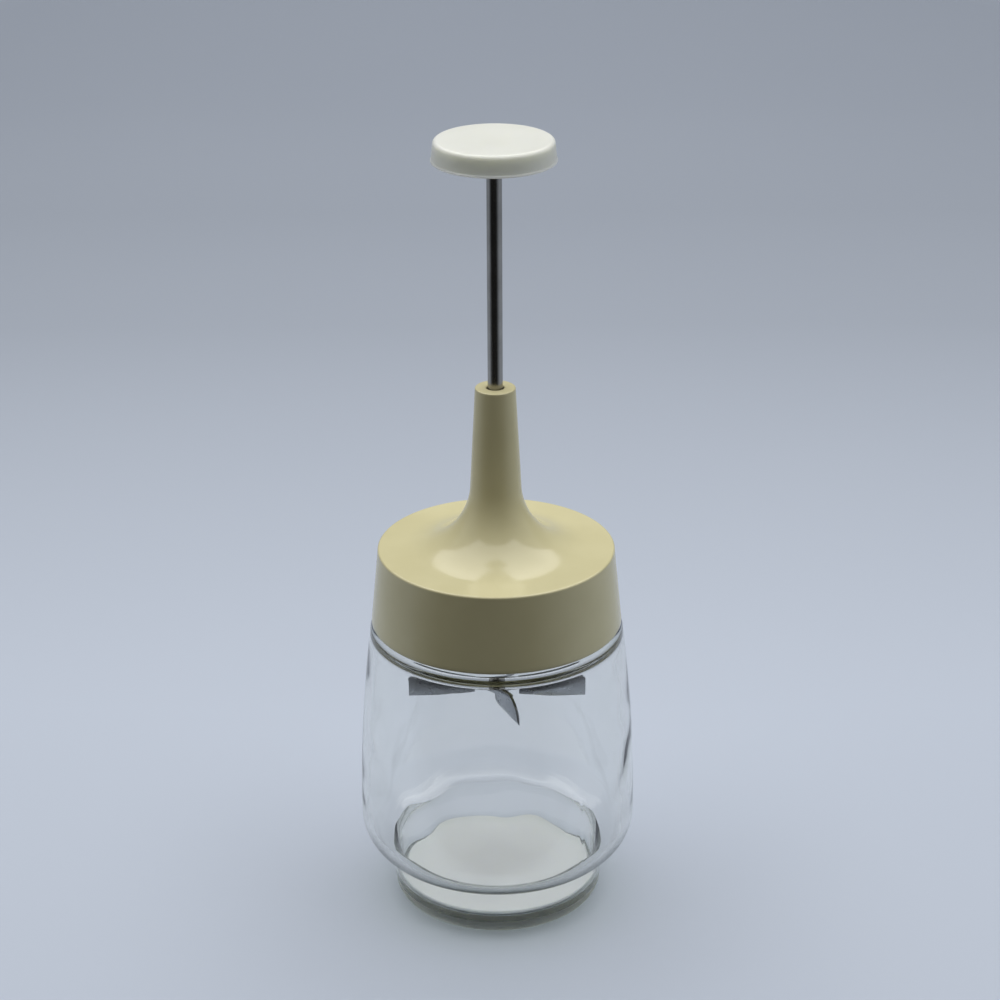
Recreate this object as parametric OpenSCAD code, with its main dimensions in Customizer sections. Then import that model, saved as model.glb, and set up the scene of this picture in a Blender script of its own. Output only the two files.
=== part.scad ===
// Hand nut chopper: a glass jar with a screw-on plastic lid. A knob on a spring-returned
// rod drives crossed steel blades down onto a plastic disc on the floor of the jar.
// Millimetres. The axis is Z, the foot stands on Z = 0 and the front faces -Y.

/* [Jar] */
// Outside diameter of the jar at its widest
belly_d = 90.6; // [74:0.2:110]
// Height of the widest part above the table
belly_z = 29.3; // [24:0.1:36]
// Height of the jar from the table to its rim
jar_h = 112.5; // [92:0.5:140]
// Height of the threaded neck above the shoulder
neck_h = 14; // [12.4:0.1:17]
// Radius of the rounded heel below the belly
heel_r = 12.5; // [11.5:0.5:16]
// Radius of the inside of the heel
inner_heel_r = 11; // [10:0.5:13]
// Thickness of the glass wall
glass_wall = 3.2; // [2.6:0.1:4]
// Outside diameter of the foot where it meets the heel
foot_d = 71.6; // [59:0.2:84]
// How far the foot narrows on each side towards the table
foot_lean = 1.5; // [0.4:0.1:2.4]
// Rounding of the foot's lower edge
foot_round = 4; // [2:0.1:5]
// Width of the ring that the foot stands on
foot_ring_w = 3.6; // [2:0.1:6]
// Depth of the hollow under the foot
push_up = 1.6; // [0.6:0.1:2.4]
// Height of the jar's inside floor above the table
floor_z = 6.5; // [5:0.1:8]
// Rounding of the outside shoulder under the lid
shoulder_r = 2; // [1.6:0.1:4]
// Depth below the outside shoulder at which the inside one starts
inner_start = 1.2; // [0.4:0.1:2]
// Drop of the inside shoulder from the neck to the body
inner_drop = 4; // [3:0.1:8]
// Rounding of the inside edge where the heel drops into the foot
heel_edge_r = 5; // [3:0.1:6]

/* [Neck thread] */
// Rise of the thread in one turn
thread_pitch = 4.23; // [4:0.01:5]
// Height of the thread ridge
thread_depth = 1.4; // [1:0.05:1.6]
// Width of the thread ridge at its root
thread_root_w = 2.2; // [1.8:0.05:2.3]
// Width of the thread ridge at its crest
thread_crest_w = 0.9; // [0.6:0.05:1.1]
// Gap between a crest and the wall that it faces
thread_clear = 0.4; // [0.35:0.05:0.6]
// Turns of thread on the jar
jar_turns = 1.25; // [1:0.05:1.4]
// Turns of thread in the lid
lid_turns = 1; // [0.8:0.05:1]

/* [Lid] */
// Outside diameter of the lid at its lower edge
lid_d = 80.9; // [67:0.1:97]
// How far the skirt leans in on each side over its height
lid_lean = 2.45; // [1:0.05:3]
// Height of the skirt
lid_h = 25.4; // [21:0.1:30.5]
// Thickness of the skirt at its lower edge
skirt_wall = 3.45; // [2.9:0.05:4.2]
// Thickness of the lid's top
lid_wall = 2.2; // [1.6:0.1:2.8]
// Gap between the lid's lower edge and the jar's shoulder
lid_gap = 0.9; // [0.5:0.1:1.5]
// Rounding of the lid's top edge
lid_edge_r = 0.7; // [0.4:0.1:1.2]
// Radius of the flare between the column and the lid's top
flare_r = 22; // [14:0.5:25]
// Draft of the column on each side, in degrees
column_draft = 3; // [1:0.1:4]
// Thickness of the column's wall at its top
column_wall = 1.35; // [1:0.05:2]
// Thickness of the column's closed top
column_cap = 2.45; // [1.6:0.05:3]

/* [Splash guard] */
// Thickness of the guard's plate
guard_t = 1.5; // [1.2:0.1:2]
// Gap around the guard's spigot in the jar's mouth
guard_fit = 0.4; // [0.3:0.05:0.6]
// Depth of the spring's seat below the jar's rim
well_drop = 9.5; // [7.8:0.1:10.5]
// Thickness of the well's wall and floor
well_wall = 1.6; // [1.2:0.1:2]

/* [Plunger] */
// Diameter of the rod
rod_d = 4.76; // [3.9:0.01:5.8]
// Gap around the rod in the column's top
rod_play = 0.42; // [0.3:0.01:0.6]
// Gap around the rod in the guard
guard_play = 0.3; // [0.3:0.01:0.5]
// Depth of the blades' cutting edge below the lid's lower edge
blade_hang = 29.3; // [26:0.1:34]
// Gap left between the cutting edges and the disc at the end of the stroke
touch_gap = 0.3; // [0.3:0.05:1]
// Gap left between the knob and the column at the end of the stroke
knob_spare = 11.15; // [6:0.05:20]
// Diameter of the turned-down end of the rod that the blades sit on
tenon_d = 3.2; // [2.6:0.1:3.4]
// Diameter of the peened head under the blades
head_d = 5.8; // [5:0.1:7]

/* [Spring] */
// Thickness of the spring's wire
spring_wire = 0.6; // [0.5:0.01:0.72]
// Coils of the spring
spring_turns = 16; // [13:1:19]
// Gap between the rod and the coils
spring_gap = 1.77; // [1.4:0.01:2.2]
// Gap around the coils in the column's top
spring_clear = 0.3; // [0.3:0.05:0.6]
// Length left over when the coils are pressed solid
spring_spare = 0.9; // [0.5:0.1:3]
// Thickness of the washer on top of the spring
cap_washer_t = 0.7; // [0.5:0.05:1]
// Thickness of the retaining ring
ring_t = 0.6; // [0.5:0.05:0.8]
// Depth of the rod's groove for the retaining ring
groove_depth = 0.58; // [0.4:0.02:0.7]

/* [Knob] */
// Diameter of the knob at its lower edge
knob_d = 38.4; // [31.5:0.1:46.5]
// Height of the knob
knob_h = 6.6; // [5.4:0.1:8]
// How far the knob's side leans in over its height
knob_lean = 0.7; // [0.3:0.05:1]
// Rounding of the knob's top edge
knob_edge_r = 1.3; // [0.8:0.1:1.8]
// Thickness of the knob's side and top
knob_wall = 1.9; // [1.4:0.1:2.4]
// Thickness of the boss around the rod
boss_wall = 2.6; // [1.8:0.1:3.4]
// Thickness of the six ribs under the knob
rib_t = 1.2; // [0.8:0.1:2]
// Height of the ribs above the knob's lower edge
rib_rise = 2.2; // [1:0.1:3.2]

/* [Blades] */
// Thickness of the blade steel
blade_t = 0.9; // [0.7:0.05:1.2]
// Depth of each blade from its top face to its cutting edge
blade_depth = 9; // [7.5:0.1:11]
// Depth of the long blade's folded edge at its inner end
long_fold = 6.5; // [1.6:0.1:7]
// Depth of the cross blade's folded edge at its inner end
cross_fold = 2.2; // [1.6:0.1:7]
// Gap that the folded edge keeps from the hub or head beside it
fin_gap = 0.5; // [0.3:0.1:1]
// Gap between the long blade's tips and the jar's mouth
tip_gap = 3; // [2:0.1:5]
// How much shorter each arm of the cross blade is
cross_short = 9; // [5:0.1:11]
// Turn of the long blade from the line across the front, in degrees
long_turn = 3.5; // [0:0.1:30]
// Turn of the cross blade from the long one, in degrees
cross_turn = 68; // [60:1:90]
// Width of the flat web along each arm
web_w = 5; // [4:0.1:6]
// Diameter of the flat centre of each blade
hub_d = 13; // [11:0.1:15]
// Height of the ground bevel
bevel_h = 1.8; // [1:0.1:2.5]
// Thickness of the washer on the blades
hub_washer_t = 0.8; // [0.6:0.05:1.2]
// Diameter of the washer on the blades
hub_washer_d = 10; // [8:0.1:11]

/* [Disc] */
// Thickness of the chopping disc
disc_t = 1.5; // [1.2:0.1:2.5]
// Gap around the disc in the jar's foot
disc_clear = 1; // [0.5:0.1:2]
// Rounding of the disc's edges
disc_edge_r = 0.5; // [0.3:0.05:0.9]

/* [Hidden] */
$fn = 96;

// Gap between pieces that rest on each other
rest_gap = 0.1;
// Gap in fits that hold
press_gap = 0.02;
// Rounding of small broken edges
break_r = 0.4;
// How far a thread ridge reaches into the wall that carries it, along its length and at its ends
ridge_sink = 0.8;
ridge_end_sink = 0.3;

// Jar
belly_r = belly_d / 2;
foot_r = foot_d / 2;
lid_r = lid_d / 2;
neck_r = lid_r - skirt_wall - thread_clear - thread_depth;
mouth_r = neck_r - glass_wall;
well_r = foot_r - glass_wall;
shoulder_z = jar_h - neck_h;
inner_top_z = shoulder_z - inner_start;
lid_z = shoulder_z + lid_gap;
edge_r = lid_r + 0.5;
edge_z = shoulder_z - shoulder_r;
heel_x = belly_r - heel_r;
heel_end = foot_r > heel_x ? acos((foot_r - heel_x) / heel_r) : 90;
inner_heel_x = belly_r - glass_wall - inner_heel_r;
heel_edge_x = well_r + heel_edge_r;
heel_edge_z = belly_z - sqrt(pow(inner_heel_r + heel_edge_r, 2) - pow(max(0, heel_edge_x - inner_heel_x), 2));
inner_heel_end = atan2(belly_z - heel_edge_z, heel_edge_x - inner_heel_x);
rim_r = 1.2;
well_fillet = 0.7;

// Lid
lid_top_z = lid_z + lid_h;
lid_top_r = lid_r - lid_lean;
lid_bore_r = lid_r - skirt_wall;
lid_under_z = lid_top_z - lid_wall;
guard_top_z = jar_h + guard_t;
press_z = guard_top_z + rest_gap;
snap = 1;
guard_r = lid_bore_r - 0.5;
seat_z = jar_h - well_drop;

// Plunger travel
disc_z = floor_z + disc_t;
edge_cut_z = lid_z - blade_hang;
stroke = edge_cut_z - disc_z - touch_gap;
rod_r = rod_d / 2;
spring_in_r = rod_r + spring_gap;
spring_r = spring_in_r + spring_wire / 2;
spring_out_r = spring_in_r + spring_wire;
spring_len = stroke + spring_turns * spring_wire + spring_spare;
spring_top_z = seat_z + spring_len;
cap_washer_z = spring_top_z;
ring_z = cap_washer_z + cap_washer_t + rest_gap;
stop_z = ring_z + ring_t + rest_gap;
bore_r = spring_out_r + spring_clear;
column_z = stop_z + column_cap;
column_r = bore_r + column_wall;
flare_z = lid_top_z + flare_r;
flare_start_z = flare_z - flare_r * sin(column_draft);
flare_x = column_r + (column_z - flare_start_z) * tan(column_draft) + flare_r * cos(column_draft);
knob_z = column_z + stroke + knob_spare;
knob_top_z = knob_z + knob_h;
rod_top_z = knob_top_z - knob_wall - break_r;

// Blade stack, from below
blade_len = mouth_r - tip_gap;
lower_top_z = edge_cut_z + blade_depth;
upper_top_z = lower_top_z + blade_t;
hub_washer_z = upper_top_z;
rod_end_z = hub_washer_z + hub_washer_t;

ivory = [0.86, 0.83, 0.67];
white = [0.92, 0.93, 0.92];
steel = [0.72, 0.74, 0.76];

// Points of an arc, from angle a0 to a1
function arc(x, z, r, a0, a1, n = 8) =
    [for (i = [0:n]) [x + r * cos(a0 + (a1 - a0) * i / n), z + r * sin(a0 + (a1 - a0) * i / n)]];

// Outside radius of the jar's side at a height
function side_r(z) = belly_r + (edge_r - belly_r) * pow((z - belly_z) / (edge_z - belly_z), 2);

// Soft step from 0 to 1
function soft(t) = t * t * (3 - 2 * t);

function jar_outline() = concat(
    [[0, push_up]],
    [[foot_r - foot_lean - foot_round - foot_ring_w - 2, push_up]],
    [[foot_r - foot_lean - foot_round - foot_ring_w, 0]],
    arc(foot_r - foot_lean - foot_round, foot_round, foot_round, -90, 0),
    [[foot_r, belly_z - heel_r * sin(heel_end)]],
    arc(heel_x, belly_z, heel_r, -heel_end, 0, 12),
    [for (i = [1:16]) let (z = belly_z + (edge_z - belly_z) * i / 16) [side_r(z), z]],
    arc(edge_r - shoulder_r, edge_z, shoulder_r, 10, 90),
    [[neck_r + 0.8, shoulder_z]],
    [[neck_r, shoulder_z + 0.8]],
    arc(neck_r - rim_r, jar_h - rim_r, rim_r, 0, 90, 6),
    arc(mouth_r + rim_r, jar_h - rim_r, rim_r, 90, 180, 6),
    [for (i = [0:12]) let (z = inner_top_z - inner_drop * i / 12)
        [mouth_r + (side_r(z) - glass_wall - mouth_r) * soft(i / 12), z]],
    [for (i = [1:14]) let (z = inner_top_z - inner_drop, b = z - (z - belly_z) * i / 14)
        [side_r(b) - glass_wall, b]],
    arc(inner_heel_x, belly_z, inner_heel_r, -5, -inner_heel_end, 11),
    arc(heel_edge_x, heel_edge_z, heel_edge_r, 180 - inner_heel_end + 6, 180, 8),
    arc(well_r - well_fillet, floor_z + well_fillet, well_fillet, 0, -90, 4),
    [[0, floor_z]]
);

function lid_outline() = concat(
    arc(lid_r - break_r, lid_z + break_r, break_r, -90, 0, 4),
    arc(lid_top_r - lid_edge_r, lid_top_z - lid_edge_r, lid_edge_r, 0, 90, 6),
    arc(flare_x, flare_z, flare_r, 270, 180 + column_draft, 16),
    arc(column_r - break_r, column_z - break_r, break_r, 0, 90, 4),
    [[rod_r + rod_play, column_z]],
    [[rod_r + rod_play, stop_z]],
    [[bore_r, stop_z]],
    arc(flare_x, flare_z, flare_r + lid_wall, 180, 270, 16),
    [[guard_r - 3.3, lid_under_z]],
    [[guard_r - 3.1, press_z]],
    [[guard_r - 1.5, press_z]],
    [[guard_r - 1.3, lid_under_z - 1]],
    [[guard_r - 0.2, lid_under_z - 1]],
    [[guard_r - 0.2, press_z + 1.2]],
    [[lid_bore_r, press_z]],
    [[lid_bore_r, jar_h - 0.3]],
    [[lid_bore_r - snap, jar_h - 0.9]],
    [[lid_bore_r - snap, jar_h - 1.3]],
    [[lid_bore_r, jar_h - 2.1]],
    [[lid_bore_r, lid_z + 0.5]],
    [[lid_bore_r + 0.5, lid_z]]
);

// Ridge of a thread: four corners per step, sunk at both ends into the wall that carries it
function ridge_points(root, crest, z0, turn0, turns, steps) = [
    for (i = [0:steps])
        let (
            a = 360 * (turn0 + turns * i / steps),
            z = z0 + thread_pitch * a / 360,
            k = min(1, i / 6, (steps - i) / 6),
            out = crest > root ? 1 : -1,
            foot = root - out * ridge_sink,
            tip = root + out * (k * (thread_depth + ridge_end_sink) - ridge_end_sink),
            slope = (thread_root_w - thread_crest_w) / 2 / thread_depth,
            wf = thread_root_w / 2 + ridge_sink * slope,
            wt = thread_root_w / 2 - out * (tip - root) * slope
        )
        for (p = [[foot, -wf], [tip, -wt], [tip, wt], [foot, wf]])
            [p[0] * cos(a), p[0] * sin(a), z + p[1]]
];

module ridge(root, crest, z0, turn0, turns) {
    steps = round(turns * 48);
    flip = crest < root;
    quads = concat(
        [for (i = [0:steps - 1]) for (j = [0:3]) let (n = (j + 1) % 4)
            [4 * i + j, 4 * i + n, 4 * i + 4 + n]],
        [for (i = [0:steps - 1]) for (j = [0:3]) let (n = (j + 1) % 4)
            [4 * i + j, 4 * i + 4 + n, 4 * i + 4 + j]],
        [[0, 2, 1], [0, 3, 2]],
        [[4 * steps, 4 * steps + 1, 4 * steps + 2], [4 * steps, 4 * steps + 2, 4 * steps + 3]]
    );
    polyhedron(
        points = ridge_points(root, crest, z0, turn0, turns, steps),
        faces = [for (f = quads) flip ? [f[2], f[1], f[0]] : f]
    );
}

// Height of the thread's middle line at turn 0, on the jar and in the lid below it
jar_thread_z = shoulder_z + 4;
lid_thread_z = jar_thread_z - (thread_root_w + thread_crest_w) / 2 - 0.25;

module glass_jar() {
    color([0.8, 0.87, 0.88, 0.5]) {
        rotate_extrude() polygon(jar_outline());
        ridge(neck_r, neck_r + thread_depth, jar_thread_z, 0, jar_turns);
    }
}

module screw_lid() {
    color(ivory) {
        rotate_extrude() polygon(lid_outline());
        ridge(lid_bore_r, lid_bore_r - thread_depth, lid_thread_z, 0.16, lid_turns);
    }
}

module chopping_disc() {
    r = min(well_r, mouth_r) - disc_clear;
    color(white) rotate_extrude() polygon(concat(
        [[0, floor_z]],
        arc(r - disc_edge_r, floor_z + disc_edge_r, disc_edge_r, -90, 0, 4),
        arc(r - disc_edge_r, disc_z - disc_edge_r, disc_edge_r, 0, 90, 4),
        [[0, disc_z]]
    ));
}

module splash_guard() {
    hole = rod_r + guard_play;
    cup = spring_out_r + 0.9;
    spigot = mouth_r - guard_fit;
    color(ivory) rotate_extrude() polygon([
        [hole, seat_z - well_wall],
        [cup + well_wall, seat_z - well_wall],
        [cup + well_wall, jar_h],
        [spigot - 1.6, jar_h],
        [spigot - 1.4, jar_h - 2.8],
        [spigot - 0.3, jar_h - 2.8],
        [spigot, jar_h],
        [guard_r, jar_h],
        [guard_r, guard_top_z],
        [cup, guard_top_z],
        [cup, seat_z],
        [hole, seat_z]
    ]);
}

// Spring: one tube of eight rings a coil and six sides, with a closer coil at each end
coil_rings = 8;
wire_sides = 6;
spring_rings = coil_rings * spring_turns;
spring_low = seat_z + spring_wire / 2 + 0.05;
spring_high = spring_top_z - spring_wire / 2 - 0.05;
end_rise = spring_wire + 0.5;
spring_rise = (spring_high - spring_low - 2 * end_rise) / (spring_turns - 2);
function spring_z(t) =
    t < 1 ? spring_low + end_rise * t :
    t > spring_turns - 1 ? spring_high - end_rise * (spring_turns - t) :
    spring_low + end_rise + spring_rise * (t - 1);
spring_line = [
    for (i = [0:spring_rings]) let (a = 360 * i / coil_rings)
        [spring_r * cos(a), spring_r * sin(a), spring_z(i / coil_rings)]
];
spring_least_gap = min([
    for (i = [0:spring_rings - 5]) for (j = [i + 5:min(spring_rings, i + 17)])
        norm(spring_line[i] - spring_line[j]) - spring_wire
]);
echo(spring_least_gap = spring_least_gap);
echo(stroke = stroke, spring_len = spring_len, column_z = column_z, top_z = knob_top_z);

module return_spring() {
    pts = [
        for (i = [0:spring_rings]) for (j = [0:wire_sides - 1])
            let (a = 360 * i / coil_rings, b = 360 * j / wire_sides, r = spring_r + spring_wire / 2 * cos(b))
            [r * cos(a), r * sin(a), spring_line[i][2] + spring_wire / 2 * sin(b)]
    ];
    s = wire_sides;
    last = s * spring_rings;
    faces = concat(
        [for (i = [0:spring_rings - 1]) for (j = [0:s - 1]) let (n = (j + 1) % s)
            [s * i + j, s * i + n, s * i + s + n]],
        [for (i = [0:spring_rings - 1]) for (j = [0:s - 1]) let (n = (j + 1) % s)
            [s * i + j, s * i + s + n, s * i + s + j]],
        [for (j = [1:s - 2]) [0, j + 1, j]],
        [for (j = [1:s - 2]) [last, last + j, last + j + 1]]
    );
    color(steel) polyhedron(points = pts, faces = faces);
}

module spring_washer() {
    color(steel) translate([0, 0, cap_washer_z]) difference() {
        cylinder(h = cap_washer_t, r = bore_r - 0.3);
        translate([0, 0, -1]) cylinder(h = cap_washer_t + 2, r = rod_r + 0.08);
    }
}

module retaining_ring() {
    inner = rod_r - groove_depth + press_gap;
    color(steel) translate([0, 0, ring_z]) difference() {
        cylinder(h = ring_t, r = rod_r + 1.5);
        translate([0, 0, -1]) cylinder(h = ring_t + 2, r = inner);
        translate([0, -inner, -1]) cube([rod_r + 2, 2 * inner, ring_t + 2]);
    }
}

module plunger_rod() {
    color(steel) rotate_extrude() polygon(concat(
        [[0, lower_top_z - blade_t - 1]],
        [[head_d / 2 - 0.7, lower_top_z - blade_t - 1]],
        [[head_d / 2, lower_top_z - blade_t - 0.4]],
        [[head_d / 2, lower_top_z - blade_t]],
        [[tenon_d / 2, lower_top_z - blade_t]],
        [[tenon_d / 2, rod_end_z]],
        [[rod_r, rod_end_z]],
        [[rod_r, ring_z - press_gap]],
        [[rod_r - groove_depth, ring_z - press_gap]],
        [[rod_r - groove_depth, ring_z + ring_t + press_gap]],
        [[rod_r, ring_z + ring_t + press_gap]],
        [[rod_r, rod_top_z - break_r]],
        [[rod_r - break_r, rod_top_z]],
        [[0, rod_top_z]]
    ));
}

module knob() {
    r = knob_d / 2;
    boss = rod_r + boss_wall;
    under = knob_top_z - knob_wall;
    color(white) {
        rotate_extrude() polygon(concat(
            [[rod_r + press_gap, knob_z + 0.6]],
            [[boss, knob_z + 0.6]],
            [[boss + 0.2, under]],
            [[r - knob_lean - knob_wall, under]],
            [[r - knob_wall, knob_z]],
            [[r, knob_z]],
            [[r, knob_z + 0.5]],
            [[r - 0.25, knob_z + 0.75]],
            arc(r - knob_lean - knob_edge_r, knob_top_z - knob_edge_r, knob_edge_r, 0, 90, 6),
            [[0, knob_top_z]],
            [[0, rod_top_z + rest_gap]],
            [[rod_r + press_gap, rod_top_z + rest_gap]]
        ));
        for (i = [0:5]) rotate(60 * i)
            translate([boss - 0.4, -rib_t / 2, knob_z + rib_rise])
                cube([r - knob_lean - knob_wall + 0.6 - boss, rib_t, under + 0.3 - knob_z - rib_rise]);
    }
}

// One arm along +X: a flat web whose front edge is folded down into a fin with a ground edge.
// The fin starts at a distance from the rod with a least depth, deepens over a run and has a rounded end.
// The web narrows from the hub to a point and from there to the fin's end
module arm(len, top, start, least, run, corner, web) {
    depth = blade_depth;
    fold = web_w / 2;
    bend = blade_t + 0.6;
    root = hub_d / 2 - 1;
    section = concat(
        [[fold, top]],
        arc(-fold + bend, top - bend, bend, 90, 180, 6),
        [[-fold, top - depth + bevel_h]],
        [[-fold + blade_t - 0.15, top - depth]],
        [[-fold + blade_t, top - depth]],
        arc(-fold + bend, top - bend, bend - blade_t, 180, 90, 6),
        [[fold, top - blade_t]]
    );
    side = concat(
        [[root - 3, top - blade_t], [start, top - blade_t]],
        [for (i = [0:8]) [start + run * i / 8,
            top - depth + (depth - least) * pow(1 - i / 8, 2)]],
        [[start + run, top - depth - 1], [len, top - depth - 1]],
        [for (i = [0:10]) [len - corner[0] * (1 - cos(9 * i)), top - depth + 0.9
            + (depth - 0.9) * (1 - corner[1]) + (depth - 0.9) * corner[1] * sin(9 * i)]],
        [[root - 3, top + 1]]
    );
    intersection() {
        rotate([90, 0, 90]) linear_extrude(height = len + 1) polygon(section);
        translate([0, fold + 1, 0]) rotate([90, 0, 0]) linear_extrude(height = web_w + 2) polygon(side);
        linear_extrude(height = top + 5) polygon([
            [root - 3, fold], [root - 3, -fold - 1], [len + 1, -fold - 1], [len + 1, -fold + bend],
            web, [root + 1.5, fold]
        ]);
    }
}

module blade(len, top, start, least, run, corner, web) {
    difference() {
        union() {
            translate([0, 0, top - blade_t]) cylinder(h = blade_t, d = hub_d);
            for (a = [0, 180]) rotate(a) arm(len, top, start, least, run, corner, web);
        }
        translate([0, 0, top - blade_t - 1]) cylinder(h = blade_t + 2, d = tenon_d + 2 * press_gap);
    }
}

module long_blade() {
    start = hub_d / 2 + fin_gap;
    color(steel) rotate(long_turn)
        blade(blade_len, upper_top_z, start, long_fold, 0.45 * blade_len, [0.12 * blade_len, 0.45],
            [0.88 * blade_len - 2, web_w / 2 - 1.5]);
}

module cross_blade() {
    len = blade_len - cross_short;
    start = head_d / 2 + fin_gap;
    color(steel) rotate(long_turn - cross_turn)
        blade(len, lower_top_z, start, cross_fold, 0.06 * len, [0.535 * len, 1],
            [hub_d / 2 + 2, blade_t + 0.6 - web_w / 2]);
}

module blade_washer() {
    color(steel) translate([0, 0, hub_washer_z]) difference() {
        cylinder(h = hub_washer_t, d = hub_washer_d);
        translate([0, 0, -1]) cylinder(h = hub_washer_t + 2, d = tenon_d + 2 * press_gap);
    }
}

glass_jar();
chopping_disc();
screw_lid();
splash_guard();
return_spring();
spring_washer();
retaining_ring();
plunger_rod();
knob();
long_blade();
cross_blade();
blade_washer();
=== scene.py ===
import math

import bpy
from mathutils import Matrix, Vector


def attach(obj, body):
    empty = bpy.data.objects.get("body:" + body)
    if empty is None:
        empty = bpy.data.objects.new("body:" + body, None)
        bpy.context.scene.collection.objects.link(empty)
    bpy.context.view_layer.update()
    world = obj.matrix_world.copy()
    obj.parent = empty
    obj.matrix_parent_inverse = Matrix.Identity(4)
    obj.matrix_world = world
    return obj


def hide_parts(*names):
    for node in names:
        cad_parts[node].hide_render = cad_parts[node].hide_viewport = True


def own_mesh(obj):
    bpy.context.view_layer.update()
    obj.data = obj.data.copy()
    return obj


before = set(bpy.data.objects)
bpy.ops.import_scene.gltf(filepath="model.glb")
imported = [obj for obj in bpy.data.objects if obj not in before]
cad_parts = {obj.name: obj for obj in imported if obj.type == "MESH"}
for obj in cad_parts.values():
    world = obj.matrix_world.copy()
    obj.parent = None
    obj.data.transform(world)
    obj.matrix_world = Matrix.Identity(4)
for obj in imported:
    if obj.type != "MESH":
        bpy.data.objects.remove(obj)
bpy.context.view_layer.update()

MM = 0.001
MERGE, FINE_MERGE, CAD_MERGE = 0.002 * MM, 0.001 * MM, 0.005 * MM

# Sizes of the pieces in millimetres, the same as the solids have
BELLY_R, BELLY_Z = 45.3, 29.3
JAR_H, NECK_H = 112.5, 14.0
HEEL_R, INNER_HEEL_R, GLASS = 12.5, 11.0, 3.2
FOOT_R, FOOT_LEAN, FOOT_ROUND, FOOT_RING, FOOT_SLOPE = 35.8, 1.5, 4.0, 3.6, 2.6
PUSH_UP, FLOOR_Z, WELL_ROUND = 1.6, 6.5, 0.7
SHOULDER_ROUND, INNER_START, INNER_DROP, HEEL_EDGE_R = 2.0, 1.2, 4.0, 5.0
NECK_R, MOUTH_R, WELL_R = 35.2, 32.0, 32.6
NECK_FILLET, RIM_ROUND = 0.8, 1.2
SHOULDER_Z = JAR_H - NECK_H
PITCH, THREAD_H, ROOT_W, CREST_W = 4.23, 1.4, 2.2, 0.9
LID_R, LID_LEAN, LID_Z, LID_TOP_Z = 40.45, 2.45, 99.4, 124.8
SHOULDER_R = LID_R + 0.5
LID_WALL, LID_BORE_R = 2.2, 37.0
FLARE_R, DRAFT = 22.0, 3.0
COLUMN_R, COLUMN_Z, STOP_Z, BORE_R = 6.4, 179.25, 176.8, 5.05
GUARD_R, GUARD_TOP, SEAT_Z = 36.5, 114.0, 103.0
SPRING_R, SPRING_WIRE, SPRING_TURNS, SPRING_TOP = 4.45, 0.6, 16, 175.3
KNOB_R, KNOB_Z, KNOB_TOP = 19.2, 252.2, 258.8
ROD_R, ROD_HOLE_R, ROD_TOP = 2.38, 2.8, 256.5
BLADE_Z, ROD_SHOULDER_Z = 78.2, 80.8
DISC_R, DISC_T = 31.0, 1.5

# How finely a ridge of thread is made, and how its ends run out into the wall
THREAD_STEPS, THREAD_SINK = 64, 0.8
RUNOUT_STEPS, RUNOUT_SINK = 8, 0.3


# Hand tools

def clear_selection():
    if bpy.context.mode != "OBJECT":
        bpy.ops.object.mode_set(mode="OBJECT")
    bpy.ops.object.select_all(action="DESELECT")


def pick(piece):
    clear_selection()
    piece.select_set(True)
    bpy.context.view_layer.objects.active = piece


def apply_modifier(piece, kind, **settings):
    pick(piece)
    modifier = piece.modifiers.new(kind.lower(), kind)
    for key, value in settings.items():
        setattr(modifier, key, value)
    bpy.ops.object.modifier_apply(modifier=modifier.name)


def smooth(piece, degrees=30):
    pick(piece)
    bpy.ops.object.shade_smooth_by_angle(angle=math.radians(degrees))


def arc(x, z, r, start, end, count):
    angles = [math.radians(start + (end - start) * i / count) for i in range(count + 1)]
    return [(x + r * math.cos(a), z + r * math.sin(a)) for a in angles]


def drawn(name, points, lift=0.0):
    """An outline drawn point by point beside the axis, left in edit mode with all of it selected."""
    clear_selection()
    bpy.ops.mesh.primitive_plane_add(size=MM, location=(0, 0, 0))
    piece = bpy.context.object
    piece.name = piece.data.name = name
    bpy.ops.object.mode_set(mode="EDIT")
    bpy.ops.mesh.select_all(action="SELECT")
    bpy.ops.mesh.merge(type="CENTER")
    first_r, first_z = points[0]
    bpy.ops.transform.translate(value=(first_r * MM, 0, (lift + first_z) * MM))
    for (ra, za), (rb, zb) in zip(points, points[1:]):
        step = ((rb - ra) * MM, 0, (zb - za) * MM)
        bpy.ops.mesh.extrude_region_move(TRANSFORM_OT_translate={"value": step})
    bpy.ops.mesh.select_all(action="SELECT")
    return piece


def turned(name, outline, ring=False, steps=160):
    """Spins an outline about the axis. A ring's outline closes on itself."""
    piece = drawn(name, outline + outline[:1] if ring else outline)
    bpy.ops.mesh.spin(steps=steps, angle=2 * math.pi, center=(0, 0, 0), axis=(0, 0, 1))
    bpy.ops.mesh.select_all(action="SELECT")
    bpy.ops.mesh.remove_doubles(threshold=MERGE)
    bpy.ops.mesh.normals_make_consistent(inside=False)
    bpy.ops.object.mode_set(mode="OBJECT")
    smooth(piece)
    return piece


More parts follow.
